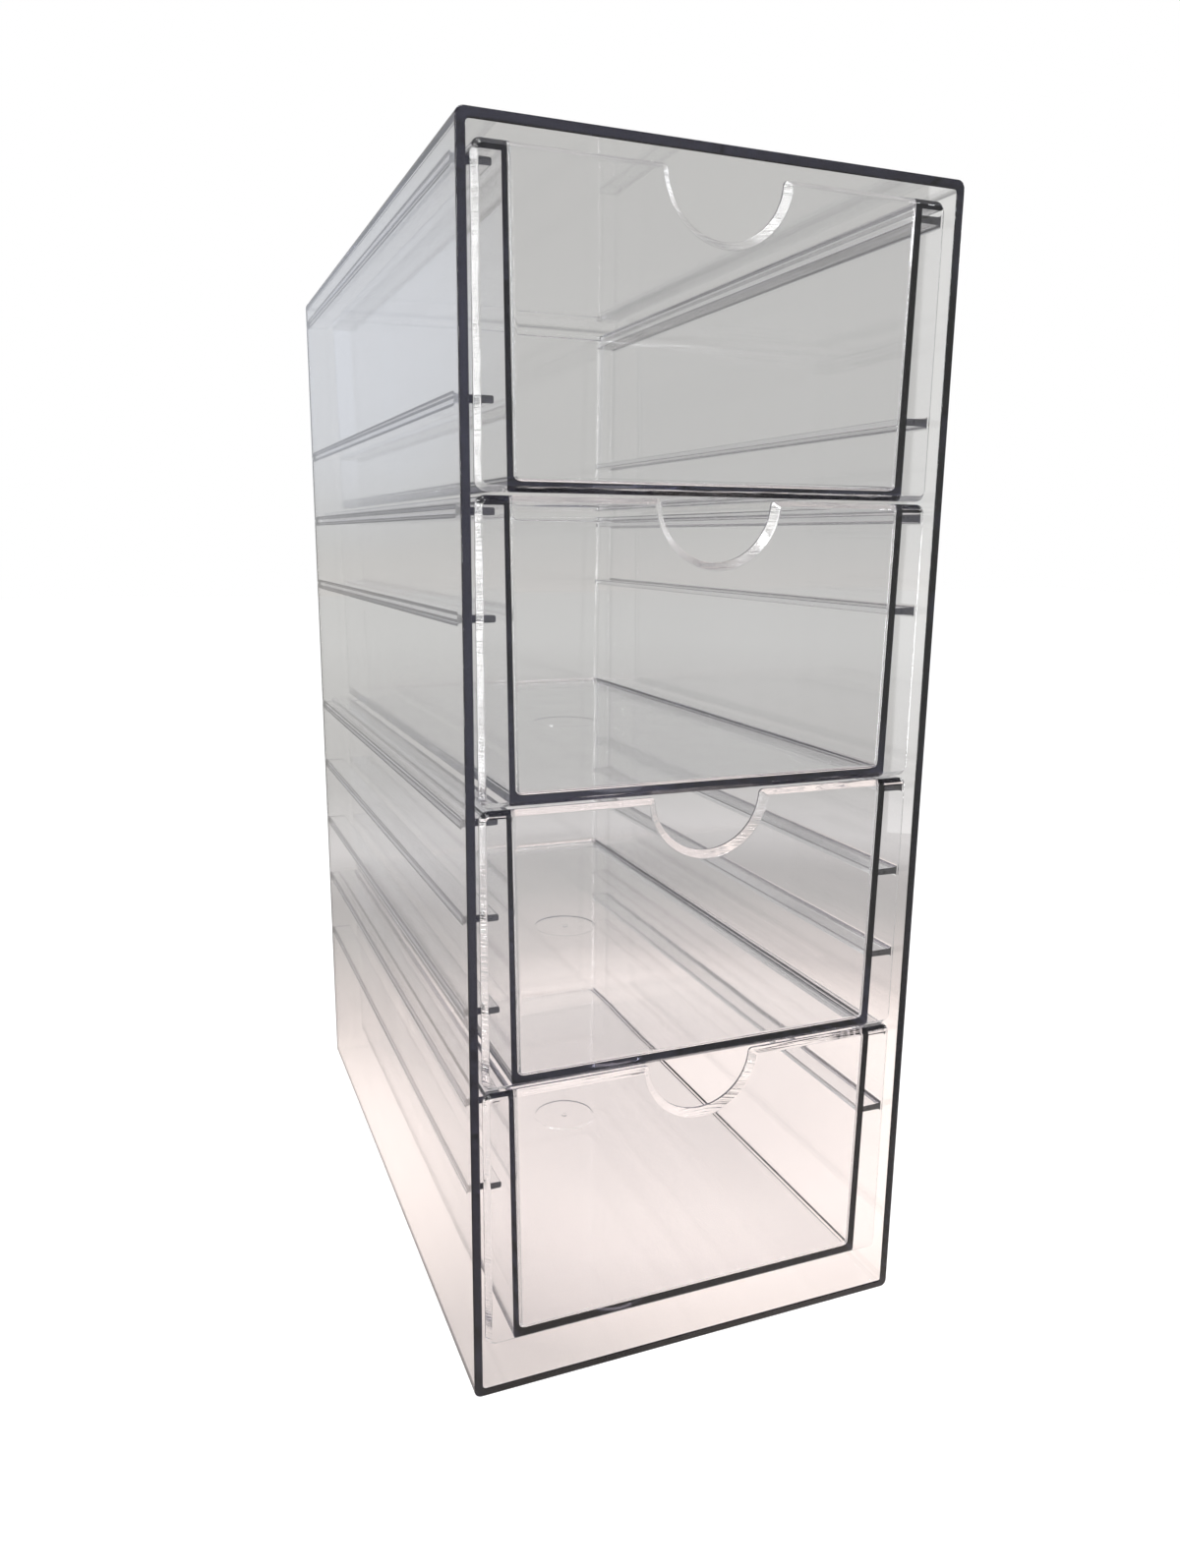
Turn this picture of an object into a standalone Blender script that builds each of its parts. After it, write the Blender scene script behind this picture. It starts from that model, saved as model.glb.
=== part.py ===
"""A clear moulded tower of four slide-out drawers for cosmetics.

The casing is one moulding with an open front and nine guide ribs down each side wall.
Each drawer is one moulding too. Its side flanges ride on a pair of ribs, and its front
plate hangs in front of the rib ends, with a half-moon notch for a fingertip.
"""

import math

import bmesh
import bpy
from mathutils import Vector

# Driving dimensions in metres. +Z is up, the open front faces -Y, and the origin lies
# under the middle of the base.
CASE_WIDTH = 0.128
CASE_DEPTH = 0.2185
CASE_WALL = 0.0023
CASE_CORNER = 0.0020  # outer radius of the long edges and of the edges of the back
CASE_INNER_CORNER = 0.0009
RIM_ROUNDING = 0.0004

DRAWER_COUNT = 4
DRAWER_HEIGHT = 0.0713
STACK_GAP = 0.0007  # between one drawer front and the next
TOP_GAP = 0.0025  # over the top drawer
BASE_GAP = 0.0106  # under the bottom drawer

FRONT_SETBACK = 0.0010  # of the drawer fronts behind the rim
FRONT_THICKNESS = 0.0022
FRONT_SIDE_GAP = 0.0015  # between a drawer front and the side wall
FRONT_LOWER_CORNER = 0.0028
FRONT_UPPER_CORNER = 0.0024
FRONT_BEVEL_WIDTH = 0.0014  # of the bevel all round the face of the front plate
FRONT_BEVEL_DEPTH = 0.0015
FRONT_ROUNDING = 0.0003  # softened edges of the front plate
FRONT_MARGIN = 0.0003  # how far the front plate stands out over and under the body

NOTCH_RADIUS = 0.0148
NOTCH_DEPTH = 0.0147
NOTCH_BEVEL_WIDTH = 0.0019
NOTCH_LIP = 0.0012  # radius where the notch meets the top edge

DRAWER_WALL = 0.0014  # at the mouth
DRAWER_FLOOR = 0.0020
DRAWER_DRAFT = math.radians(0.7)
HOLLOW_DRAFT = math.radians(0.9)  # the walls get thicker towards the floor
DRAWER_BACK_CORNER = 0.0030
DRAWER_EDGE = 0.0010  # radius along the lower edges
HOLLOW_FILLET = 0.0008  # radius inside, along the floor and behind the front plate
DRAWER_BACK_GAP = 0.0046  # behind the drawer, to the back wall
MOUTH_ROUNDING = 0.0004  # softened edges of the drawer's mouth

FLANGE_THICKNESS = 0.0018
FLANGE_SIDE_GAP = 0.0022  # between a flange and the side wall
FLANGE_BACK_LIP = 0.0010  # how far the mouth's rim stands out at the back
FLANGE_BACK_CORNER = 0.0025
FLANGE_LOWER_EDGE = 0.0007

RIBS_PER_DRAWER = 3
RIBS_LEFT_OUT = (1, 5)  # places on the rib grid, from the top, that hold no rib
RIB_REACH = 0.0071
RIB_ROOT = 0.0021
RIB_TIP = 0.0012
RIB_FILLET = 0.0008
RIB_TIP_ROUNDING = 0.0004
RIB_FRONT_GAP = 0.0033  # from a drawer front's rear face to the rib ends
RIB_SIDE_GAP = 0.0011  # from a rib to the side of the drawer
SEAT_GAP = 0.0003  # between a flange and the rib that carries it

GATE_RADIUS = 0.0105  # round recess under the drawer's floor, where the mould is filled
GATE_RECESS = 0.0004
GATE_NUB_RADIUS = 0.0010
GATE_NUB_HEIGHT = 0.0003

CORNER_STEPS = 4
ROUNDING_STEPS = 2
NOTCH_STEPS = 28
GATE_STEPS = 36
OVERLAP = 0.0016  # how far a cutting shape runs past what it cuts
LEAST_RADIUS = 0.0002
MERGE_DISTANCE = 0.00001
FLAT_ANGLE = math.radians(0.02)
SHARP_ANGLE = math.radians(32)

CLEAR_PLASTIC = (0.90, 0.91, 0.93, 1.0)

# Sizes that follow from the ones above.
DRAWER_PITCH = DRAWER_HEIGHT + STACK_GAP
CASE_HEIGHT = 2 * CASE_WALL + BASE_GAP + DRAWER_COUNT * DRAWER_PITCH - STACK_GAP + TOP_GAP
CASE_FRONT = -CASE_DEPTH / 2
CASE_BACK = CASE_DEPTH / 2
BAY_HALF_WIDTH = CASE_WIDTH / 2 - CASE_WALL
BAY_BACK = CASE_BACK - CASE_WALL

FRONT_FACE = CASE_FRONT + FRONT_SETBACK
FRONT_REAR = FRONT_FACE + FRONT_THICKNESS
FRONT_HALF_WIDTH = BAY_HALF_WIDTH - FRONT_SIDE_GAP
BODY_HALF_WIDTH = BAY_HALF_WIDTH - RIB_REACH - RIB_SIDE_GAP
BODY_BACK = BAY_BACK - DRAWER_BACK_GAP - FLANGE_BACK_LIP
BODY_FRONT = FRONT_REAR - FRONT_THICKNESS / 3
FLANGE_FRONT = FRONT_REAR - FRONT_THICKNESS / 4
BODY_BASE = FRONT_MARGIN
MOUTH_HEIGHT = DRAWER_HEIGHT - FRONT_MARGIN
FLANGE_HALF_WIDTH = BAY_HALF_WIDTH - FLANGE_SIDE_GAP

TOP_DRAWER_BASE = CASE_HEIGHT - CASE_WALL - TOP_GAP - DRAWER_HEIGHT
RIB_PITCH = DRAWER_PITCH / RIBS_PER_DRAWER
TOP_RIB = TOP_DRAWER_BASE + MOUTH_HEIGHT - FLANGE_THICKNESS - SEAT_GAP - RIB_ROOT / 2
RIB_GRID_PLACES = RIBS_PER_DRAWER * DRAWER_COUNT - 1
RIB_FRONT = FRONT_REAR + RIB_FRONT_GAP


def arc(centre, radius, start, end, steps):
    """Points on an arc from the start angle to the end angle, in degrees."""
    angles = [math.radians(start + (end - start) * step / steps) for step in range(steps + 1)]
    return [
        (centre[0] + radius * math.cos(angle), centre[1] + radius * math.sin(angle))
        for angle in angles
    ]


def rounded_rectangle(low, high, low_radius, high_radius):
    """Outline with one radius at its two low-y corners and one at its two high-y corners."""
    (x0, y0), (x1, y1) = low, high
    near = max(low_radius, LEAST_RADIUS)
    far = max(high_radius, LEAST_RADIUS)
    return (
        arc((x0 + near, y0 + near), near, 180, 270, CORNER_STEPS)
        + arc((x1 - near, y0 + near), near, 270, 360, CORNER_STEPS)
        + arc((x1 - far, y1 - far), far, 0, 90, CORNER_STEPS)
        + arc((x0 + far, y1 - far), far, 90, 180, CORNER_STEPS)
    )


def new_object(name, shape):
    """Turns a bmesh into an object whose faces point outwards."""
    bmesh.ops.recalc_face_normals(shape, faces=shape.faces)
    mesh = bpy.data.meshes.new(name)
    shape.to_mesh(mesh)
    shape.free()
    item = bpy.data.objects.new(name, mesh)
    bpy.context.scene.collection.objects.link(item)
    return item


def add_loft(shape, loops):
    """Adds a closed skin through loops of equal length, capped at the first and the last."""
    rings = [[shape.verts.new(point) for point in loop] for loop in loops]
    for near, far in zip(rings, rings[1:]):
        for index in range(len(near)):
            shape.faces.new((near[index - 1], near[index], far[index], far[index - 1]))
    shape.faces.new(rings[0])
    shape.faces.new(rings[-1])


def loft(name, loops):
    shape = bmesh.new()
    add_loft(shape, loops)
    return new_object(name, shape)


def cut_and_fuse(name, base, cut, fused):
    """One smooth-shaded mesh: the base with some objects cut from it, then others fused to it."""
    for operation, tools in (("DIFFERENCE", cut), ("UNION", fused)):
        for tool in tools:
            modifier = base.modifiers.new(tool.name, "BOOLEAN")
            modifier.operation = operation
            modifier.solver = "EXACT"
            modifier.object = tool
    depsgraph = bpy.context.evaluated_depsgraph_get()
    mesh = bpy.data.meshes.new_from_object(base.evaluated_get(depsgraph))
    mesh.name = name
    for item in (base, *cut, *fused):
        bpy.data.objects.remove(item)
    shape = bmesh.new()
    shape.from_mesh(mesh)
    bmesh.ops.remove_doubles(shape, verts=shape.verts, dist=MERGE_DISTANCE)
    bmesh.ops.dissolve_limit(shape, angle_limit=FLAT_ANGLE, verts=shape.verts, edges=shape.edges)
    shape.to_mesh(mesh)
    shape.free()
    mesh.shade_smooth()
    mesh.set_sharp_from_angle(angle=SHARP_ANGLE)
    return mesh


def clear_plastic(name):
    """Colourless styrene, polished by the mould."""
    material = bpy.data.materials.new(name)
    material.use_nodes = True
    surface = material.node_tree.nodes["Principled BSDF"]
    surface.inputs["Base Color"].default_value = CLEAR_PLASTIC
    surface.inputs["Metallic"].default_value = 0.0
    surface.inputs["Roughness"].default_value = 0.05
    surface.inputs["IOR"].default_value = 1.49
    surface.inputs["Transmission Weight"].default_value = 0.9
    return material


def add_part(name, mesh, height):
    """One sub-part, stood at its height over the base."""
    mesh.materials.clear()
    mesh.materials.append(clear_plastic(name + "_plastic"))
    part = bpy.data.objects.new(name, mesh)
    part.location = (0, 0, height)
    part.modifiers.new("Even shading", "WEIGHTED_NORMAL").keep_sharp = True
    bpy.context.scene.collection.objects.link(part)


def casing_ring(inset, y, radius):
    """The casing's section at one depth, drawn in from its outer faces."""
    low = (inset - CASE_WIDTH / 2, inset)
    high = (CASE_WIDTH / 2 - inset, CASE_HEIGHT - inset)
    return [(x, y, z) for x, z in rounded_rectangle(low, high, radius, radius)]


def casing_shell():
    """Open-fronted box, lofted from its back along the outside, round the rim and back inside."""
    outer_back = (CASE_CORNER, CASE_BACK - CASE_CORNER)
    outer_rim = (RIM_ROUNDING, CASE_FRONT + RIM_ROUNDING)
    inner_rim = (CASE_WALL - RIM_ROUNDING, CASE_FRONT + RIM_ROUNDING)
    inner_back = (CASE_WALL + CASE_INNER_CORNER, BAY_BACK - CASE_INNER_CORNER)
    outside = arc(outer_back, CASE_CORNER, 90, 180, CORNER_STEPS)
    outside += arc(outer_rim, RIM_ROUNDING, 180, 270, ROUNDING_STEPS)
    inside = arc(inner_rim, RIM_ROUNDING, 270, 360, ROUNDING_STEPS)
    inside += arc(inner_back, CASE_INNER_CORNER, 180, 90, CORNER_STEPS)
    rings = [casing_ring(inset, y, CASE_CORNER - inset) for inset, y in outside]
    inner_reach = CASE_WALL + CASE_INNER_CORNER
    rings += [casing_ring(inset, y, inner_reach - inset) for inset, y in inside]
    return loft("casing_shell", rings)


def rib_section():
    """A rib's outline by reach from the wall and height from its middle, upper half first."""
    root = RIB_ROOT / 2
    tip = RIB_TIP / 2
    rooted = [(-CASE_WALL / 2, root + RIB_FILLET)]
    fillet = arc((RIB_FILLET, root + RIB_FILLET), RIB_FILLET, 180, 270, CORNER_STEPS)
    corner = (RIB_REACH - RIB_TIP_ROUNDING, tip - RIB_TIP_ROUNDING)
    upper = rooted + fillet + arc(corner, RIB_TIP_ROUNDING, 90, 0, ROUNDING_STEPS)
    lower = [(reach, -height) for reach, height in reversed(upper)]
    return upper + lower


def guide_ribs():
    """The ribs of both side walls, which run from behind the fronts into the back wall."""
    shape = bmesh.new()
    ends = (RIB_FRONT, CASE_BACK - CASE_WALL / 2)
    for place in range(RIB_GRID_PLACES):
        if place in RIBS_LEFT_OUT:
            continue
        middle = TOP_RIB - place * RIB_PITCH
        for side in (-1, 1):
            section = [(side * (BAY_HALF_WIDTH - u), middle + v) for u, v in rib_section()]
            add_loft(shape, [[(x, y, z) for x, z in section] for y in ends])
    return new_object("guide_ribs", shape)


def casing():
    """The one-piece outer box with its ribs."""
    add_part("casing", cut_and_fuse("casing", casing_shell(), [], [guide_ribs()]), 0)


def softened(corners, radius):
    """A bent line with its inner corners rounded off."""
    path = corners[:1]
    for before, corner, after in zip(corners, corners[1:], corners[2:]):
        corner = Vector(corner)
        back = (Vector(before) - corner).normalized()
        on = (Vector(after) - corner).normalized()
        half = back.angle(on) / 2
        centre = corner + (back + on).normalized() * radius / math.sin(half)
        start = corner + back * radius / math.tan(half) - centre
        end = corner + on * radius / math.tan(half) - centre
        for step in range(ROUNDING_STEPS + 1):
            spoke = start.slerp(end, step / ROUNDING_STEPS)
            path.append(tuple(centre + spoke * radius))
    return path + corners[-1:]


def front_outline(inset):
    """The front plate's outline by width and height, with its notch, drawn in along its bevel."""
    side = FRONT_HALF_WIDTH
    top = DRAWER_HEIGHT
    low = FRONT_LOWER_CORNER
    up = FRONT_UPPER_CORNER
    share = inset / FRONT_BEVEL_WIDTH
    lip = NOTCH_LIP * (1 - 0.6 * share)
    radius = NOTCH_RADIUS + NOTCH_BEVEL_WIDTH * share
    notch_middle = top - NOTCH_DEPTH + NOTCH_RADIUS
    lip_height = top - inset - lip
    rise = notch_middle - lip_height
    lip_middle = math.sqrt((radius + lip) ** 2 - rise ** 2)
    tilt = math.degrees(math.asin(rise / (radius + lip)))
    right_lip = arc((lip_middle, lip_height), lip, 90, 180 - tilt, CORNER_STEPS)
    left_lip = arc((-lip_middle, lip_height), lip, tilt, 90, CORNER_STEPS)
    notch = arc((0, notch_middle), radius, -tilt, tilt - 180, NOTCH_STEPS)
    return (
        arc((low - side, low), low - inset, 180, 270, CORNER_STEPS)
        + arc((side - low, low), low - inset, 270, 360, CORNER_STEPS)
        + arc((side - up, top - up), up - inset, 0, 90, CORNER_STEPS)
        + right_lip
        + notch[1:-1]
        + left_lip
        + arc((up - side, top - up), up - inset, 90, 180, CORNER_STEPS)
    )


def drawer_front():
    """The front plate, lofted from its bevelled face to its rear."""
    corners = [
        (FRONT_BEVEL_WIDTH + FRONT_ROUNDING, FRONT_FACE),
        (FRONT_BEVEL_WIDTH, FRONT_FACE),
        (0, FRONT_FACE + FRONT_BEVEL_DEPTH),
        (0, FRONT_REAR),
        (2 * FRONT_ROUNDING, FRONT_REAR),
    ]
    profile = softened(corners, FRONT_ROUNDING)
    return loft("drawer_front", [[(x, y, z) for x, z in front_outline(inset)] for inset, y in profile])


def section_at(z, half_width, front, back, back_corner):
    """A section of the drawer's body at one height over the base."""
    points = rounded_rectangle((-half_width, front), (half_width, back), LEAST_RADIUS, back_corner)
    return [(x, y, z) for x, y in points]


def body_section(inset, z):
    """The body's section at one height, drawn in from its outer faces and by the draft."""
    drawn_in = inset + (MOUTH_HEIGHT - z) * math.tan(DRAWER_DRAFT)
    corner = DRAWER_BACK_CORNER - inset
    return section_at(z, BODY_HALF_WIDTH - drawn_in, BODY_FRONT, BODY_BACK - drawn_in, corner)


def hollow_section(inset, z, mouth_front):
    """The hollow's section, with fillets at the front plate and an opening of their width in it."""
    drawn_in = inset + (MOUTH_HEIGHT - z) * math.tan(HOLLOW_DRAFT)
    side = BODY_HALF_WIDTH - drawn_in
    front = FRONT_REAR + max(inset - DRAWER_WALL, 0)
    low = (-side, front)
    high = (side, BODY_BACK - drawn_in)
    points = rounded_rectangle(low, high, HOLLOW_FILLET, DRAWER_BACK_CORNER - DRAWER_WALL)
    corner_points = CORNER_STEPS + 1
    opening = side - HOLLOW_FILLET
    lip = [(-opening, mouth_front), (opening, mouth_front)]
    points = points[:corner_points] + lip + points[corner_points:]
    return [(x, y, z) for x, y in points]


def flange_section(inset, z):
    """The mouth's section at one height, with its side flanges and its small lip at the back."""
    half_width = FLANGE_HALF_WIDTH - inset
    back = BODY_BACK + FLANGE_BACK_LIP - inset
    return section_at(z, half_width, FLANGE_FRONT, back, FLANGE_BACK_CORNER - inset)


def drawer_block():
    """Body and flanges as a solid block, whose front end runs into the front plate."""
    underside = MOUTH_HEIGHT - FLANGE_THICKNESS
    base_centre = (DRAWER_EDGE, BODY_BASE + DRAWER_EDGE)
    under_centre = (FLANGE_LOWER_EDGE, underside + FLANGE_LOWER_EDGE)
    mouth_centre = (MOUTH_ROUNDING, MOUTH_HEIGHT - MOUTH_ROUNDING)
    body = arc(base_centre, DRAWER_EDGE, 270, 180, CORNER_STEPS) + [(0, underside)]
    flange = arc(under_centre, FLANGE_LOWER_EDGE, 270, 180, ROUNDING_STEPS)
    flange += arc(mouth_centre, MOUTH_ROUNDING, 180, 90, ROUNDING_STEPS)
    rings = [body_section(inset, z) for inset, z in body]
    rings += [flange_section(inset, z) for inset, z in flange]
    return loft("drawer_block", rings)


def drawer_hollow():
    """The space inside the drawer, open to the front for the plate, with a softened mouth."""
    floor_centre = (DRAWER_WALL + HOLLOW_FILLET, BODY_BASE + DRAWER_FLOOR + HOLLOW_FILLET)
    mouth_centre = (DRAWER_WALL - MOUTH_ROUNDING, MOUTH_HEIGHT - MOUTH_ROUNDING)
    fillet = arc(floor_centre, HOLLOW_FILLET, 270, 180, CORNER_STEPS)
    mouth = arc(mouth_centre, MOUTH_ROUNDING, 0, 90, ROUNDING_STEPS)
    mouth += [(DRAWER_WALL - MOUTH_ROUNDING, MOUTH_HEIGHT + OVERLAP)]
    rings = [hollow_section(inset, z, FRONT_REAR + inset - DRAWER_WALL) for inset, z in fillet]
    open_front = BODY_FRONT - OVERLAP
    rings += [hollow_section(inset, z, open_front) for inset, z in fillet[-1:] + mouth]
    return loft("drawer_hollow", rings)


def gate_recess():
    """The shallow round recess under the floor, which leaves the moulding gate's nub standing."""
    profile = [
        (GATE_RADIUS, BODY_BASE - OVERLAP),
        (GATE_RADIUS, BODY_BASE + GATE_RECESS),
        (GATE_NUB_RADIUS, BODY_BASE + GATE_RECESS),
        (GATE_NUB_RADIUS, BODY_BASE + GATE_RECESS - GATE_NUB_HEIGHT),
    ]
    middle = (FRONT_REAR + BODY_BACK) / 2
    rings = []
    for radius, z in profile:
        circle = arc((0, middle), radius, 0, 360, GATE_STEPS)[:-1]
        rings.append([(x, y, z) for x, y in circle])
    return loft("gate_recess", rings)


def drawer_mesh():
    """One drawer with its base at height zero."""
    return cut_and_fuse("drawer", drawer_block(), [drawer_hollow(), gate_recess()], [drawer_front()])


def drawers():
    """The stack of like drawers, numbered from the top. Each slides out along -Y."""
    pattern = drawer_mesh()
    for index in range(DRAWER_COUNT):
        height = TOP_DRAWER_BASE - index * DRAWER_PITCH
        add_part(f"drawer_{index + 1}", pattern.copy(), height)
    bpy.data.meshes.remove(pattern)


for old in list(bpy.data.objects):
    bpy.data.objects.remove(old)
casing()
drawers()
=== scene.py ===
"""The clear drawer tower: one ribbed casing and four drawers of smoky clear styrene."""

import math

import bmesh
import bpy
from mathutils import Matrix, Vector


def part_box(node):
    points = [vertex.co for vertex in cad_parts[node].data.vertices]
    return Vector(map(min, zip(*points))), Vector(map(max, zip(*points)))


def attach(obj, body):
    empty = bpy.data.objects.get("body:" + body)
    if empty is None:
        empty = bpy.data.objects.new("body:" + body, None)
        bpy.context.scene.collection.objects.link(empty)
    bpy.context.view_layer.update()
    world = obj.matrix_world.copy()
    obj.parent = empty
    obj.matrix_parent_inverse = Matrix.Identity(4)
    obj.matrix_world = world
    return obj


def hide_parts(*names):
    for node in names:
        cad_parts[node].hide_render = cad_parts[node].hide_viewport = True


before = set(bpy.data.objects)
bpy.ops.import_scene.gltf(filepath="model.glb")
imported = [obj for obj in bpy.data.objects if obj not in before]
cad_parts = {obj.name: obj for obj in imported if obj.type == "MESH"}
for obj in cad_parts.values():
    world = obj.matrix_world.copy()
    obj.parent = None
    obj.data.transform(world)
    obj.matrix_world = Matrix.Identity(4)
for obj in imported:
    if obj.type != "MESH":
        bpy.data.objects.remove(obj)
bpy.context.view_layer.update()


# The casing
# One injection-moulded box of clear styrene, open at the front. Its walls are all of one
# thickness, and nine guide ribs down the inside of each side wall are moulded with them.

case_low, case_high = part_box("casing")
case_wall = 0.0023
case_corner = 0.0020
case_inner_corner = 0.0009
rim_rounding = 0.0004
bay_half_width = case_high.x - case_wall
bay_back = case_high.y - case_wall

rib_reach = 0.0071
rib_root = 0.0019
rib_tip = 0.0017
rib_fillet = 0.0008
rib_tip_rounding = 0.0004
rib_pitch = 0.024
rib_places = 11
rib_gaps = (1, 5)
top_rib = 0.29675
rib_setback = 0.0065
rib_front = case_low.y + rib_setback

corner_steps = 8
rounding_steps = 4
least_radius = 0.0002
weld_distance = 0.000008
flat_angle = 0.0003
crease_angle = math.radians(32)


def placed(name, data):
    """A new object in the scene."""
    thing = bpy.data.objects.new(name, data)
    bpy.context.scene.collection.objects.link(thing)
    return thing


def arc(centre, radius, start, end, steps):
    """Points on an arc from the start angle to the end angle, in degrees."""
    turns = [math.radians(start + (end - start) * step / steps) for step in range(steps + 1)]
    return [(centre[0] + radius * math.cos(t), centre[1] + radius * math.sin(t)) for t in turns]


def rounded_outline(low, high, low_radius, high_radius):
    """An outline with one radius at its two low corners and one at its two high corners."""
    (x0, y0), (x1, y1) = low, high
    near = max(low_radius, least_radius)
    far = max(high_radius, least_radius)
    return (
        arc((x0 + near, y0 + near), near, 180, 270, corner_steps)
        + arc((x1 - near, y0 + near), near, 270, 360, corner_steps)
        + arc((x1 - far, y1 - far), far, 0, 90, corner_steps)
        + arc((x0 + far, y1 - far), far, 90, 180, corner_steps)
    )


def moulding(name, rings):
    """A closed skin through rings of equal length, capped at the first and the last."""
    shape = bmesh.new()
    loops = [[shape.verts.new(point) for point in ring] for ring in rings]
    for near, far in zip(loops, loops[1:]):
        for index in range(len(near)):
            shape.faces.new((near[index - 1], near[index], far[index], far[index - 1]))
    shape.faces.new(loops[0])
    shape.faces.new(loops[-1])
    bmesh.ops.recalc_face_normals(shape, faces=shape.faces)
    mesh = bpy.data.meshes.new(name)
    shape.to_mesh(mesh)
    shape.free()
    return placed(name, mesh)


def plain_mesh(piece):
    """What a piece's modifiers make of it, as a mesh of its own."""
    evaluated = piece.evaluated_get(bpy.context.evaluated_depsgraph_get())
    return bpy.data.meshes.new_from_object(evaluated)


def moulded_in_one(name, base, cut, fused):
    """One smooth piece: the base with some shapes cut from it, then others fused to it."""
    for operation, tools in (("DIFFERENCE", cut), ("UNION", fused)):
        for tool in tools:
            step = base.modifiers.new(tool.name, "BOOLEAN")
            step.operation = operation
            step.solver = "EXACT"
            step.object = tool
    mesh = plain_mesh(base)
    mesh.name = name
    for shape in (base, *cut, *fused):
        bpy.data.objects.remove(shape)
    shape = bmesh.new()
    shape.from_mesh(mesh)
    bmesh.ops.remove_doubles(shape, verts=shape.verts, dist=weld_distance)
    bmesh.ops.dissolve_limit(
        shape, angle_limit=flat_angle, verts=shape.verts, edges=shape.edges
    )
    shape.to_mesh(mesh)
    shape.free()
    mesh.shade_smooth()
    mesh.set_sharp_from_angle(angle=crease_angle)
    return mesh


def feed(tree, socket, source):
    """Sets a socket to a number, or links another node's output to it."""
    if isinstance(source, float):
        socket.default_value = source
    else:
        tree.links.new(source, socket)


def maths(tree, operation, first, second=0.0):
    """The output of a new Math node, fed by numbers or by other nodes."""
    node = tree.nodes.new("ShaderNodeMath")
    node.operation = operation
    feed(tree, node.inputs[0], first)
    feed(tree, node.inputs[1], second)
    return node.outputs[0]


def noise(tree, place, scale, detail):
    """A new Noise Texture node."""
    node = tree.nodes.new("ShaderNodeTexNoise")
    feed(tree, node.inputs["Vector"], place)
    feed(tree, node.inputs["Scale"], scale)
    node.inputs["Detail"].default_value = detail
    return node


def mould_finish():
    """Node group: the long shallow waves and faint flow marks that a polished mould leaves."""
    group = bpy.data.node_groups.new("Mould finish", "ShaderNodeTree")
    faces = group.interface
    for name, value in (("Wave length", 0.025), ("Wave depth", 0.00003), ("Flow marks", 0.01)):
        faces.new_socket(name, in_out="INPUT", socket_type="NodeSocketFloat").default_value = value
    for name in ("Height", "Roughness"):
        faces.new_socket(name, in_out="OUTPUT", socket_type="NodeSocketFloat")
    nodes, links = group.nodes, group.links
    given = nodes.new("NodeGroupInput")
    made = nodes.new("NodeGroupOutput")
    place = nodes.new("ShaderNodeTexCoord")

    apart = nodes.new("ShaderNodeVectorMath")
    apart.operation = "MULTIPLY_ADD"
    apart.inputs[1].default_value = (0.02, 0.02, 0.02)
    links.new(place.outputs["Normal"], apart.inputs[0])
    links.new(place.outputs["Object"], apart.inputs[2])
    fineness = maths(group, "DIVIDE", 1.0, given.outputs["Wave length"])
    waves = noise(group, apart.outputs[0], fineness, 1.0)
    waves.inputs["Roughness"].default_value = 0.35
    depth = maths(group, "MULTIPLY", waves.outputs["Fac"], given.outputs["Wave depth"])
    links.new(depth, made.inputs["Height"])

    marks = noise(group, place.outputs["Object"], 14.0, 4.0)
    rough = nodes.new("ShaderNodeMapRange")
    rough.inputs["From Min"].default_value = 0.35
    rough.inputs["From Max"].default_value = 0.75
    rough.inputs["To Min"].default_value = 0.012
    links.new(marks.outputs["Fac"], rough.inputs["Value"])
    links.new(given.outputs["Flow marks"], rough.inputs["To Max"])
    links.new(rough.outputs[0], made.inputs["Roughness"])
    return group


finish_group = mould_finish()


def clear_styrene(name, wave_length, wave_depth, flow_marks):
    """Smoky clear styrene: thin walls look clear and long paths through it go nearly black."""
    material = bpy.data.materials.new(name)
    material.use_nodes = True
    nodes, links = material.node_tree.nodes, material.node_tree.links
    surface = nodes["Principled BSDF"]
    surface.inputs["Base Color"].default_value = (1, 1, 1, 1)
    surface.inputs["Transmission Weight"].default_value = 1.0
    surface.inputs["IOR"].default_value = 1.53
    finish = nodes.new("ShaderNodeGroup")
    finish.node_tree = finish_group
    finish.inputs["Wave length"].default_value = wave_length
    finish.inputs["Wave depth"].default_value = wave_depth
    finish.inputs["Flow marks"].default_value = flow_marks
    links.new(finish.outputs["Roughness"], surface.inputs["Roughness"])
    bump = nodes.new("ShaderNodeBump")
    bump.inputs["Distance"].default_value = 1.0
    links.new(finish.outputs["Height"], bump.inputs["Height"])
    links.new(bump.outputs[0], surface.inputs["Normal"])

    smoke = nodes.new("ShaderNodeVolumeAbsorption")
    smoke.inputs["Color"].default_value = (0.10, 0.10, 0.25, 1)
    smoke.inputs["Density"].default_value = 14.0
    out = nodes["Material Output"]
    links.new(smoke.outputs[0], out.inputs["Volume"])
    path = nodes.new("ShaderNodeLightPath")
    clear = nodes.new("ShaderNodeBsdfTransparent")
    clear.inputs["Color"].default_value = (0.93, 0.93, 0.94, 1)
    either = nodes.new("ShaderNodeMixShader")
    links.new(path.outputs["Is Shadow Ray"], either.inputs["Fac"])
    links.new(surface.outputs[0], either.inputs[1])
    links.new(clear.outputs[0], either.inputs[2])
    links.new(either.outputs[0], out.inputs["Surface"])
    return material


case_styrene = clear_styrene("Casing styrene", 0.030, 0.00004, 0.04)


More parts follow.
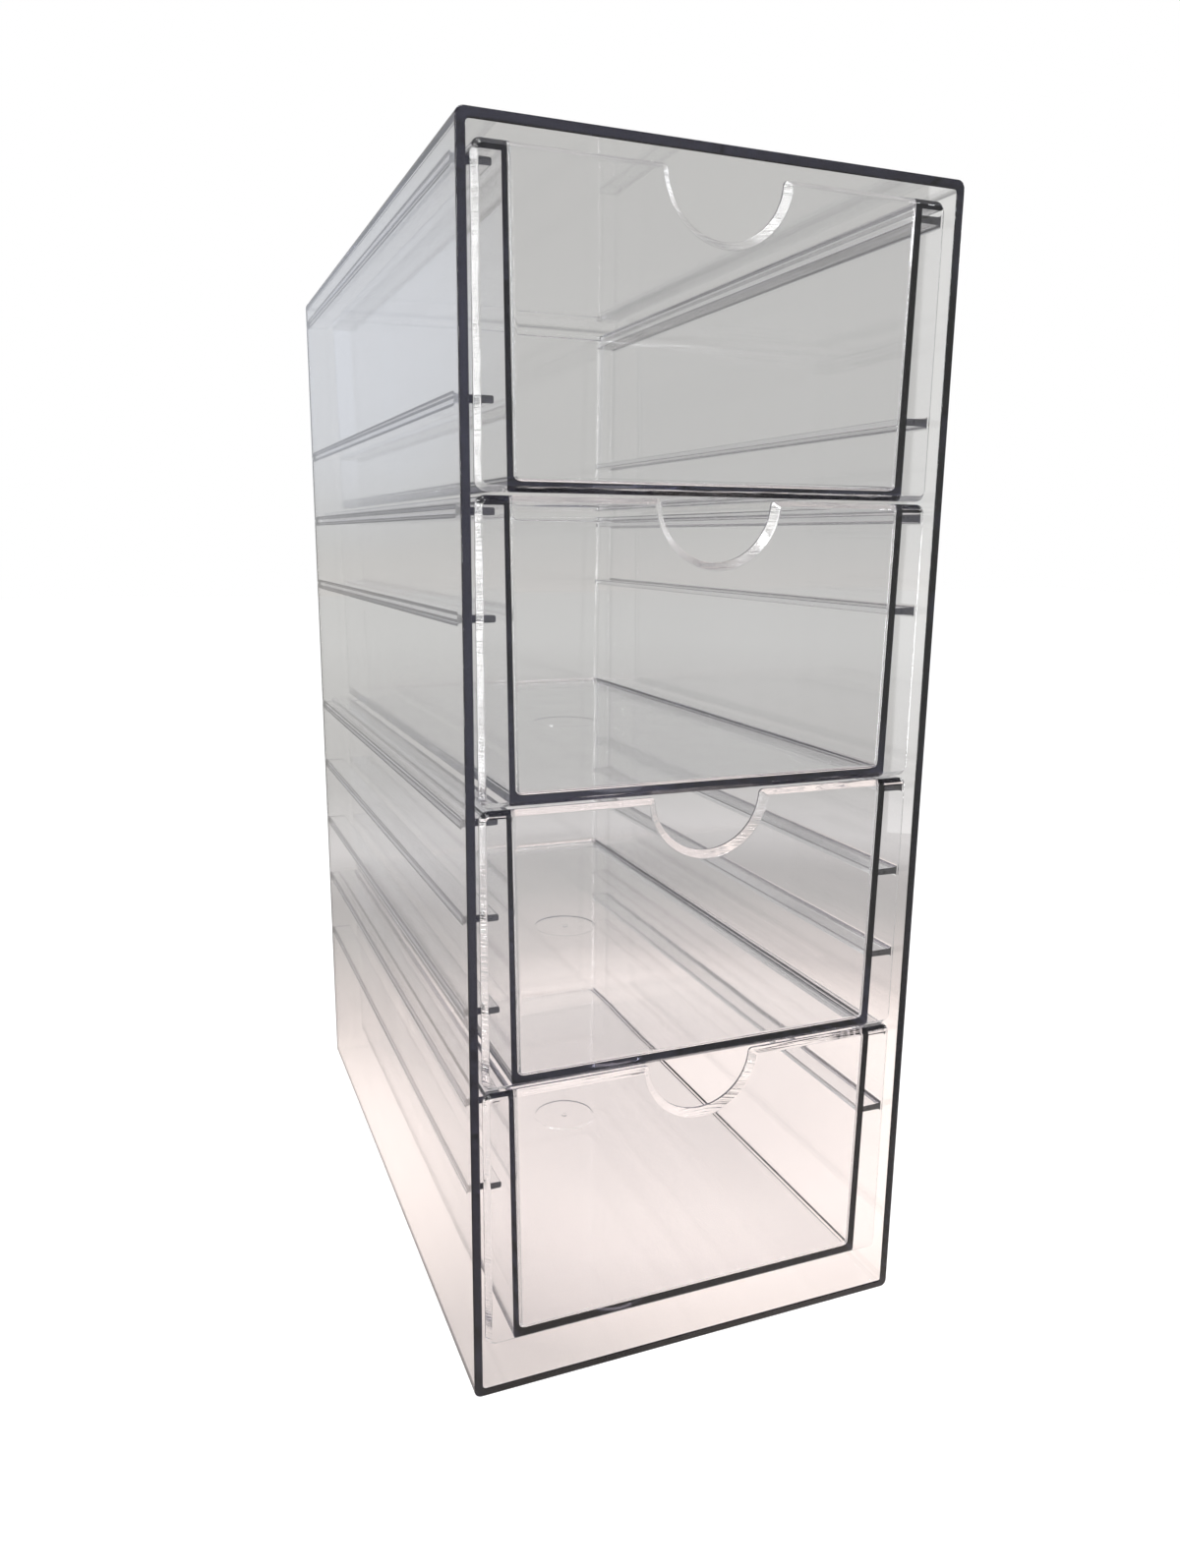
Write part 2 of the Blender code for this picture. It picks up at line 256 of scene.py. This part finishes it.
def casing_ring(inset, y, radius):
    """The casing's section at one depth, drawn in from its outer faces."""
    low = (case_low.x + inset, case_low.z + inset)
    high = (case_high.x - inset, case_high.z - inset)
    return [(x, y, z) for x, z in rounded_outline(low, high, radius, radius)]


def casing_shell():
    """The open box, from its back along the outside, round the rim and back along the inside."""
    outer_back = (case_corner, case_high.y - case_corner)
    outer_rim = (rim_rounding, case_low.y + rim_rounding)
    inner_rim = (case_wall - rim_rounding, case_low.y + rim_rounding)
    inner_back = (case_wall + case_inner_corner, bay_back - case_inner_corner)
    outside = arc(outer_back, case_corner, 90, 180, corner_steps)
    outside += arc(outer_rim, rim_rounding, 180, 270, rounding_steps)
    inside = arc(inner_rim, rim_rounding, 270, 360, rounding_steps)
    inside += arc(inner_back, case_inner_corner, 180, 90, corner_steps)
    inner_reach = case_wall + case_inner_corner
    rings = [casing_ring(inset, y, case_corner - inset) for inset, y in outside]
    rings += [casing_ring(inset, y, inner_reach - inset) for inset, y in inside]
    return moulding("casing_shell", rings)


def rib_section():
    """A flat face in the shape of a rib's section, rooted in the right-hand wall at x = 0."""
    root = rib_root / 2
    tip = rib_tip / 2
    upper = [(-case_wall / 2, root + rib_fillet)]
    upper += arc((rib_fillet, root + rib_fillet), rib_fillet, 180, 270, corner_steps)
    corner = (rib_reach - rib_tip_rounding, tip - rib_tip_rounding)
    upper += arc(corner, rib_tip_rounding, 90, 0, rounding_steps)
    outline = upper + [(reach, -height) for reach, height in reversed(upper)]
    mesh = bpy.data.meshes.new("rib_section")
    mesh.from_pydata([(-reach, 0, height) for reach, height in outline], [], [range(len(outline))])
    if mesh.polygons[0].normal.y < 0:
        mesh.flip_normals()
    return placed("guide_ribs", mesh)


def rib_rows_tree():
    """Geometry Nodes: draws the section out into a rib and repeats it down both side walls."""
    tree = bpy.data.node_groups.new("Guide rib rows", "GeometryNodeTree")
    face = tree.interface
    face.new_socket("Section", in_out="INPUT", socket_type="NodeSocketGeometry")
    for name in ("Front end", "Back end", "Wall", "Top height", "Pitch"):
        face.new_socket(name, in_out="INPUT", socket_type="NodeSocketFloat")
    for name in ("Places", "First gap", "Second gap"):
        face.new_socket(name, in_out="INPUT", socket_type="NodeSocketInt")
    face.new_socket("Plastic", in_out="INPUT", socket_type="NodeSocketMaterial")
    face.new_socket("Ribs", in_out="OUTPUT", socket_type="NodeSocketGeometry")
    nodes, links = tree.nodes, tree.links
    given = nodes.new("NodeGroupInput")
    made = nodes.new("NodeGroupOutput")

    def vector(x=None, y=None, z=None):
        node = nodes.new("ShaderNodeCombineXYZ")
        for socket, source in zip(node.inputs, (x, y, z)):
            if source is not None:
                links.new(source, socket)
        return node.outputs[0]

    stand = nodes.new("GeometryNodeTransform")
    links.new(given.outputs["Section"], stand.inputs["Geometry"])
    links.new(vector(y=given.outputs["Front end"]), stand.inputs["Translation"])
    draw = nodes.new("GeometryNodeExtrudeMesh")
    draw.mode = "FACES"
    draw.inputs["Individual"].default_value = False
    length = maths(tree, "SUBTRACT", given.outputs["Back end"], given.outputs["Front end"])
    links.new(stand.outputs[0], draw.inputs["Mesh"])
    links.new(vector(y=length), draw.inputs["Offset"])
    end = nodes.new("GeometryNodeFlipFaces")
    links.new(stand.outputs[0], end.inputs["Mesh"])
    closed = nodes.new("GeometryNodeJoinGeometry")
    links.new(end.outputs[0], closed.inputs[0])
    links.new(draw.outputs["Mesh"], closed.inputs[0])
    rib = nodes.new("GeometryNodeMergeByDistance")
    rib.inputs["Distance"].default_value = 0.000001
    links.new(closed.outputs[0], rib.inputs["Geometry"])

    row = nodes.new("GeometryNodeMeshLine")
    row.mode = "OFFSET"
    links.new(given.outputs["Places"], row.inputs["Count"])
    links.new(vector(z=given.outputs["Top height"]), row.inputs["Start Location"])
    downwards = maths(tree, "MULTIPLY", given.outputs["Pitch"], -1.0)
    links.new(vector(z=downwards), row.inputs["Offset"])
    place = nodes.new("GeometryNodeInputIndex")
    left_out = nodes.new("FunctionNodeBooleanMath")
    left_out.operation = "OR"
    for socket, gap in zip(left_out.inputs, ("First gap", "Second gap")):
        same = nodes.new("FunctionNodeCompare")
        same.data_type = "INT"
        same.operation = "EQUAL"
        links.new(place.outputs[0], same.inputs[2])
        links.new(given.outputs[gap], same.inputs[3])
        links.new(same.outputs[0], socket)
    kept = nodes.new("GeometryNodeDeleteGeometry")
    links.new(row.outputs["Mesh"], kept.inputs["Geometry"])
    links.new(left_out.outputs[0], kept.inputs["Selection"])

    both = nodes.new("GeometryNodeJoinGeometry")
    for turn, side in ((0.0, 1.0), (math.pi, -1.0)):
        ribs = nodes.new("GeometryNodeInstanceOnPoints")
        ribs.inputs["Rotation"].default_value = (0.0, turn, 0.0)
        links.new(kept.outputs[0], ribs.inputs["Points"])
        links.new(rib.outputs[0], ribs.inputs["Instance"])
        wall = nodes.new("GeometryNodeTransform")
        links.new(ribs.outputs[0], wall.inputs["Geometry"])
        sideways = maths(tree, "MULTIPLY", given.outputs["Wall"], side)
        links.new(vector(x=sideways), wall.inputs["Translation"])
        links.new(wall.outputs[0], both.inputs[0])
    real = nodes.new("GeometryNodeRealizeInstances")
    links.new(both.outputs[0], real.inputs[0])
    plastic = nodes.new("GeometryNodeSetMaterial")
    links.new(real.outputs[0], plastic.inputs["Geometry"])
    links.new(given.outputs["Plastic"], plastic.inputs["Material"])
    links.new(plastic.outputs[0], made.inputs["Ribs"])
    return tree


def guide_ribs():
    """The ribs of both side walls, from behind the drawer fronts into the back wall."""
    section = rib_section()
    rows = section.modifiers.new("Guide ribs", "NODES")
    rows.node_group = rib_rows_tree()
    sizes = {
        "Front end": rib_front,
        "Back end": case_high.y - case_wall / 2,
        "Wall": bay_half_width,
        "Top height": top_rib,
        "Pitch": rib_pitch,
        "Places": rib_places,
        "First gap": rib_gaps[0],
        "Second gap": rib_gaps[1],
        "Plastic": case_styrene,
    }
    for socket in rows.node_group.interface.items_tree:
        if socket.name in sizes:
            rows[socket.identifier] = sizes[socket.name]
    mesh = plain_mesh(section)
    section.modifiers.clear()
    section.data = mesh
    return section


casing_mesh = moulded_in_one("clear_casing", casing_shell(), [], [guide_ribs()])
casing = placed("clear_casing", casing_mesh)
casing.data.materials.clear()
casing.data.materials.append(case_styrene)
casing.modifiers.new("Even shading", "WEIGHTED_NORMAL").keep_sharp = True
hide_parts("casing")
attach(casing, "casing")


# The drawers
# Four like one-piece mouldings of the same styrene, each with a front plate, a tapered body and
# thin side flanges that ride on the casing's ribs. A half-moon notch in the plate is the pull.

drawer_names = ["drawer_1", "drawer_2", "drawer_3", "drawer_4"]
first_low, first_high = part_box(drawer_names[0])
drawer_height = first_high.z - first_low.z
front_face = first_low.y
front_thickness = 0.0022
front_rear = front_face + front_thickness
front_half_width = first_high.x
front_lower_corner = 0.0028
front_upper_corner = 0.0024
bevel_width = 0.0014
bevel_depth = 0.0015
crease_rounding = 0.0003
front_margin = 0.0003

notch_radius = 0.0148
notch_depth = 0.0147
notch_bevel_width = 0.0019
notch_lip = 0.0012
notch_steps = 72

drawer_wall = 0.0014
drawer_floor = 0.0020
body_side_gap = 0.0082
back_lip = 0.0010
body_half_width = bay_half_width - body_side_gap
body_back = first_high.y - back_lip
body_base = front_margin
mouth_height = drawer_height - front_margin
outside_draft = math.tan(math.radians(0.7))
inside_draft = math.tan(math.radians(0.9))
back_corner = 0.0030
lower_edge = 0.0010
hollow_fillet = 0.0014
mouth_rounding = 0.0006

flange_side_gap = 0.0022
flange_half_width = bay_half_width - flange_side_gap
flange_thickness = 0.0018
flange_back_corner = 0.0025
flange_lower_edge = 0.0007

gate_radius = 0.0105
gate_recess_depth = 0.0004
gate_nub = 0.0010
gate_nub_height = 0.0003
gate_steps = 64

cut_clearance = 0.002

marked_reach = front_rear + 0.0001
marked_facing = 0.93
mark_stretch = (60.0, 60.0, 1900.0)
mark_depth = 0.00022
mark_roughness = 0.08
swell_fineness = 130.0
swell_depth = 0.0005


def front_outline(inset):
    """The front plate's outline by width and height, drawn in along its bevel."""
    side = front_half_width
    top = drawer_height
    low = front_lower_corner
    up = front_upper_corner
    share = inset / bevel_width
    lip = notch_lip * (1 - 0.6 * share)
    radius = notch_radius + notch_bevel_width * share
    notch_middle = top - notch_depth + notch_radius
    lip_height = top - inset - lip
    rise = notch_middle - lip_height
    lip_middle = math.sqrt((radius + lip) ** 2 - rise ** 2)
    tilt = math.degrees(math.asin(rise / (radius + lip)))
    notch = arc((0, notch_middle), radius, -tilt, tilt - 180, notch_steps)
    return (
        arc((low - side, low), low - inset, 180, 270, corner_steps)
        + arc((side - low, low), low - inset, 270, 360, corner_steps)
        + arc((side - up, top - up), up - inset, 0, 90, corner_steps)
        + arc((lip_middle, lip_height), lip, 90, 180 - tilt, corner_steps)
        + notch[1:-1]
        + arc((-lip_middle, lip_height), lip, tilt, 90, corner_steps)
        + arc((up - side, top - up), up - inset, 90, 180, corner_steps)
    )


def softened(corners, radius):
    """A bent line with each of its inner corners rounded off."""
    path = corners[:1]
    for before, corner, after in zip(corners, corners[1:], corners[2:]):
        corner = Vector(corner)
        back = (Vector(before) - corner).normalized()
        on = (Vector(after) - corner).normalized()
        half = back.angle(on) / 2
        centre = corner + (back + on).normalized() * radius / math.sin(half)
        start = corner + back * radius / math.tan(half) - centre
        end = corner + on * radius / math.tan(half) - centre
        for step in range(rounding_steps + 1):
            spoke = start.slerp(end, step / rounding_steps)
            path.append(tuple(centre + spoke * radius))
    return path + corners[-1:]


def front_plate():
    """The front plate, with a bevel all round its face and its notch."""
    profile = softened(
        [
            (bevel_width + crease_rounding, front_face),
            (bevel_width, front_face),
            (0, front_face + bevel_depth),
            (0, front_rear),
            (2 * crease_rounding, front_rear),
        ],
        crease_rounding,
    )
    rings = [[(x, y, z) for x, z in front_outline(inset)] for inset, y in profile]
    return moulding("front_plate", rings)


def level_section(z, half_width, front, back, corner):
    """A level section of the drawer's body."""
    outline = rounded_outline((-half_width, front), (half_width, back), least_radius, corner)
    return [(x, y, z) for x, y in outline]


def body_section(inset, z):
    """The body's section, drawn in from its outer faces and by their draft."""
    drawn_in = inset + (mouth_height - z) * outside_draft
    front = front_rear - front_thickness / 3
    side = body_half_width - drawn_in
    return level_section(z, side, front, body_back - drawn_in, back_corner - inset)


def flange_section(inset, z):
    """The mouth's section, with its side flanges and the small lip at the back."""
    front = front_rear - front_thickness / 4
    side = flange_half_width - inset
    return level_section(z, side, front, first_high.y - inset, flange_back_corner - inset)


def drawer_block():
    """The body and its flanges, still solid, with their front end run into the plate."""
    underside = mouth_height - flange_thickness
    body = arc((lower_edge, body_base + lower_edge), lower_edge, 270, 180, corner_steps)
    body += [(0, underside)]
    flange_centre = (flange_lower_edge, underside + flange_lower_edge)
    flange = arc(flange_centre, flange_lower_edge, 270, 180, rounding_steps)
    mouth_centre = (mouth_rounding, mouth_height - mouth_rounding)
    flange += arc(mouth_centre, mouth_rounding, 180, 90, rounding_steps)
    rings = [body_section(inset, z) for inset, z in body]
    rings += [flange_section(inset, z) for inset, z in flange]
    return moulding("drawer_block", rings)


def hollow_section(inset, z, mouth_front):
    """The hollow's section, filleted at the plate, with an opening through to mouth_front."""
    drawn_in = inset + (mouth_height - z) * inside_draft
    side = body_half_width - drawn_in
    low = (-side, front_rear + max(inset - drawer_wall, 0))
    high = (side, body_back - drawn_in)
    outline = rounded_outline(low, high, hollow_fillet, back_corner - drawer_wall)
    opening = side - hollow_fillet
    ledge = [(-opening, mouth_front), (opening, mouth_front)]
    outline = outline[:corner_steps + 1] + ledge + outline[corner_steps + 1:]
    return [(x, y, z) for x, y in outline]


def drawer_hollow():
    """The room inside the drawer, open to the front for the plate, with a softened mouth."""
    floor_centre = (drawer_wall + hollow_fillet, body_base + drawer_floor + hollow_fillet)
    fillet = arc(floor_centre, hollow_fillet, 270, 180, corner_steps)
    mouth_centre = (drawer_wall - mouth_rounding, mouth_height - mouth_rounding)
    mouth = arc(mouth_centre, mouth_rounding, 0, 90, rounding_steps)
    mouth += [(drawer_wall - mouth_rounding, mouth_height + cut_clearance)]
    open_front = front_face - cut_clearance + front_thickness
    rings = [hollow_section(inset, z, front_rear + inset - drawer_wall) for inset, z in fillet]
    rings += [hollow_section(inset, z, open_front) for inset, z in fillet[-1:] + mouth]
    return moulding("drawer_hollow", rings)


def gate_recess():
    """The round recess under the floor that the mould's gate leaves, with its nub in the middle."""
    profile = (
        (gate_radius, body_base - cut_clearance),
        (gate_radius, body_base + gate_recess_depth),
        (gate_nub, body_base + gate_recess_depth),
        (gate_nub, body_base + gate_recess_depth - gate_nub_height),
    )
    middle = (front_rear + body_back) / 2
    rings = []
    for radius, z in profile:
        circle = arc((0, middle), radius, 0, 360, gate_steps)[:-1]
        rings.append([(x, y, z) for x, y in circle])
    return moulding("gate_recess", rings)


def milled_edges(material):
    """Tool marks and low swells on the front plate's bevels, which break up the light there."""
    tree = material.node_tree
    nodes, links = tree.nodes, tree.links
    finish = nodes["Group"]
    place = nodes.new("ShaderNodeTexCoord")
    where = nodes.new("ShaderNodeSeparateXYZ")
    links.new(place.outputs["Object"], where.inputs[0])
    facing = nodes.new("ShaderNodeSeparateXYZ")
    links.new(place.outputs["Normal"], facing.inputs[0])

    on_plate = maths(tree, "LESS_THAN", where.outputs["Y"], marked_reach)
    frontal = maths(tree, "ABSOLUTE", facing.outputs["Y"])
    bevelled = maths(tree, "LESS_THAN", frontal, marked_facing)
    marked = maths(tree, "MULTIPLY", on_plate, bevelled)
    stretch = nodes.new("ShaderNodeVectorMath")
    stretch.operation = "MULTIPLY"
    stretch.inputs[1].default_value = mark_stretch
    links.new(place.outputs["Object"], stretch.inputs[0])
    grain = noise(tree, stretch.outputs[0], 1.0, 2.0)
    swell = noise(tree, place.outputs["Object"], swell_fineness, 0.0)
    grain_height = maths(tree, "MULTIPLY", grain.outputs["Fac"], mark_depth)
    swell_height = maths(tree, "MULTIPLY", swell.outputs["Fac"], swell_depth)
    height = maths(tree, "ADD", grain_height, swell_height)
    marks = maths(tree, "MULTIPLY", height, marked)
    relief = maths(tree, "ADD", finish.outputs["Height"], marks)
    links.new(relief, nodes["Bump"].inputs["Height"])
    rougher = maths(tree, "MULTIPLY", marked, mark_roughness)
    rough = maths(tree, "ADD", finish.outputs["Roughness"], rougher)
    links.new(rough, nodes["Principled BSDF"].inputs["Roughness"])


drawer_styrene = clear_styrene("Drawer styrene", 0.022, 0.00005, 0.04)
milled_edges(drawer_styrene)
drawer_pattern = moulded_in_one(
    "drawer", drawer_block(), [drawer_hollow(), gate_recess()], [front_plate()]
)
drawer_pattern.materials.clear()
drawer_pattern.materials.append(drawer_styrene)
for name in drawer_names:
    mesh = drawer_pattern.copy()
    mesh.transform(Matrix.Translation((0, 0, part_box(name)[0].z)))
    drawer = placed("clear_" + name, mesh)
    drawer.modifiers.new("Even shading", "WEIGHTED_NORMAL").keep_sharp = True
    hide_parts(name)
    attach(drawer, name)
bpy.data.meshes.remove(drawer_pattern)


# The studio
# A white table and a pale surround. The camera sees them pure white, while the plastic shows
# them warm white close by, and cool greys further off and higher up; on the table this is painted
# light, brighter than white round the tower, then darker in a band further out. Narrow windows
# and panels, hidden from the camera, stand where the edges and notches of the plastic mirror them.

warm_white = (0.90, 0.81, 0.75, 1)
cool_grey = (0.575, 0.572, 0.555, 1)
dark_grey = (0.27, 0.27, 0.28, 1)
white = (1, 1, 1, 1)
sky_blue = (0.16, 0.19, 0.26, 1)
sky_direction = Vector((-0.17, 0.97, 0.18)).normalized()
# The centre of the painted light on the table, which only the plastic sees.
painted_light_centre = (0.06, 0.03, 0.0)


def fill_ramp(ramp, first, last, between):
    """Gives a colour ramp its first and last stops and those between them."""
    for stop, (position, shade) in zip(ramp.elements, (first, last)):
        stop.position = position
        stop.color = shade
    for position, shade in between:
        ramp.elements.new(position).color = shade


def shown_white(nodes, links, colour):
    """White to the camera, and the given colour to every other ray."""
    path = nodes.new("ShaderNodeLightPath")
    mix = nodes.new("ShaderNodeMix")
    mix.data_type = "RGBA"
    mix.inputs["B"].default_value = white
    links.new(path.outputs["Is Camera Ray"], mix.inputs["Factor"])
    links.new(colour, mix.inputs["A"])
    return mix.outputs["Result"]


def table_top():
    """The table, glowing by itself for the most part, so that the tower's shadow stays faint."""
    mesh = bpy.data.meshes.new("table_top")
    reach = 4.0
    level = -0.0002
    signs = ((-1, -1), (1, -1), (1, 1), (-1, 1))
    corners = [(x * reach, y * reach, level) for x, y in signs]
    mesh.from_pydata(corners, [], [(0, 1, 2, 3)])
    table = placed("table_top", mesh)
    material = bpy.data.materials.new("White table")
    material.use_nodes = True
    nodes, links = material.node_tree.nodes, material.node_tree.links
    nodes.clear()
    place = nodes.new("ShaderNodeTexCoord")
    distance = nodes.new("ShaderNodeVectorMath")
    distance.operation = "DISTANCE"
    distance.inputs[1].default_value = painted_light_centre
    links.new(place.outputs["Object"], distance.inputs[0])
    fade = nodes.new("ShaderNodeMapRange")
    fade.inputs["From Max"].default_value = 2.0
    links.new(distance.outputs["Value"], fade.inputs["Value"])
    # The table's colour to the plastic is painted light: brighter than white round the tower,
    # falling off past its front, then a darker band and greys further out.
    painted_light_tone = nodes.new("ShaderNodeValToRGB")
    fill_ramp(painted_light_tone.color_ramp, (0.025, (0.97, 0.865, 0.81, 1)), (1.0, cool_grey), (
        (0.048, (1.06, 0.945, 0.88, 1)),
        (0.058, (1.02, 0.905, 0.845, 1)),
        (0.073, (0.80, 0.71, 0.665, 1)),
        (0.082, (0.64, 0.575, 0.545, 1)),
        (0.135, (0.43, 0.41, 0.395, 1)),
        (0.165, (0.42, 0.40, 0.39, 1)),
        (0.215, (0.60, 0.58, 0.57, 1)),
        (0.320, (0.48, 0.47, 0.455, 1)),
    ))
    links.new(fade.outputs[0], painted_light_tone.inputs[0])
    colour = shown_white(nodes, links, painted_light_tone.outputs["Color"])
    glow = nodes.new("ShaderNodeEmission")
    glow.inputs["Strength"].default_value = 1.20
    links.new(colour, glow.inputs["Color"])
    matt = nodes.new("ShaderNodeBsdfDiffuse")
    links.new(colour, matt.inputs["Color"])
    mix = nodes.new("ShaderNodeMixShader")
    mix.inputs["Fac"].default_value = 0.18
    links.new(glow.outputs[0], mix.inputs[1])
    links.new(matt.outputs[0], mix.inputs[2])
    links.new(mix.outputs[0], nodes.new("ShaderNodeOutputMaterial").inputs["Surface"])
    mesh.materials.append(material)


def pale_surround():
    """The room, as a fade from the floor up past a darker band, with a blue glow behind."""
    world = bpy.data.worlds.new("Pale surround")
    world.use_nodes = True
    nodes, links = world.node_tree.nodes, world.node_tree.links
    nodes.clear()
    place = nodes.new("ShaderNodeTexCoord")
    height = nodes.new("ShaderNodeSeparateXYZ")
    links.new(place.outputs["Generated"], height.inputs[0])
    spread = nodes.new("ShaderNodeMapRange")
    spread.inputs["From Min"].default_value = -1.0
    links.new(height.outputs["Z"], spread.inputs["Value"])
    fade = nodes.new("ShaderNodeValToRGB")
    fill_ramp(fade.color_ramp, (0.35, warm_white), (1.0, (0.9, 0.9, 0.9, 1)), (
        (0.5, cool_grey),
        (0.68, cool_grey),
        (0.76, dark_grey),
        (0.86, dark_grey),
        (0.93, (0.55, 0.55, 0.56, 1)),
    ))
    links.new(spread.outputs[0], fade.inputs[0])
    towards = nodes.new("ShaderNodeVectorMath")
    towards.operation = "DOT_PRODUCT"
    towards.inputs[1].default_value = sky_direction
    links.new(place.outputs["Generated"], towards.inputs[0])
    glow = nodes.new("ShaderNodeMapRange")
    glow.interpolation_type = "SMOOTHSTEP"
    glow.inputs["From Min"].default_value = math.cos(math.radians(12))
    glow.inputs["From Max"].default_value = math.cos(math.radians(2))
    links.new(towards.outputs["Value"], glow.inputs["Value"])
    sky = nodes.new("ShaderNodeMix")
    sky.data_type = "RGBA"
    sky.blend_type = "ADD"
    sky.inputs["B"].default_value = sky_blue
    links.new(glow.outputs[0], sky.inputs["Factor"])
    links.new(fade.outputs["Color"], sky.inputs["A"])
    air = nodes.new("ShaderNodeBackground")
    links.new(shown_white(nodes, links, sky.outputs["Result"]), air.inputs["Color"])
    links.new(air.outputs[0], nodes.new("ShaderNodeOutputWorld").inputs["Surface"])
    bpy.context.scene.world = world


def softbox(name, place, aim, width, height, power):
    """A flat lamp turned towards a point and hidden from the camera."""
    lamp = bpy.data.lights.new(name, "AREA")
    lamp.shape = "RECTANGLE"
    lamp.size = width
    lamp.size_y = height
    lamp.energy = power
    stand = placed(name, lamp)
    stand.location = place
    direction = tuple(b - a for a, b in zip(place, aim))
    stand.rotation_euler = Vector(direction).to_track_quat("-Z", "Y").to_euler()
    stand.visible_camera = False


table_top()
pale_surround()
softbox("ceiling_lamp", (-0.15, -0.20, 1.20), (0, 0, 0.15), 0.45, 0.45, 6.0)
softbox("window_left", (-2.88, -0.80, 1.30), (0, -0.11, 0.60), 0.60, 2.40, 45.0)
softbox("window_front_left", (-1.77, -1.88, 1.65), (0, -0.11, 0.29), 0.36, 2.10, 22.0)
softbox("skylight", (-0.55, -0.84, 1.47), (0, -0.11, 0.29), 0.42, 0.47, 5.0)
softbox("low_window_left", (-0.65, -0.23, 0.115), (-0.06, -0.11, 0.115), 0.06, 0.21, 0.4)
softbox("window_right", (1.29, 0.22, 0.78), (0, -0.11, 0.29), 0.17, 0.46, 2.8)
softbox("far_window_right", (0.506, 0.291, 0.13), (0.06, -0.11, 0.13), 0.03, 0.19, 0.12)
softbox("pale_panel_right", (0.399, 0.310, 0.23), (-0.13, -0.35, 0.22), 0.048, 0.45, 0.013)

cycles = bpy.context.scene.cycles
cycles.max_bounces = 48
cycles.transmission_bounces = 48
cycles.glossy_bounces = 32
cycles.transparent_max_bounces = 64
bpy.context.scene.view_settings.view_transform = "Standard"

camera = placed("camera", bpy.data.cameras.new("camera"))
camera.data.sensor_width = 36.0
camera.data.lens = 25.865
camera.data.clip_start = 0.01
camera.location = (-0.13078, -0.35417, 0.21884)
camera.rotation_euler = (1.3567, -0.0081, -0.3773)
bpy.context.scene.camera = camera
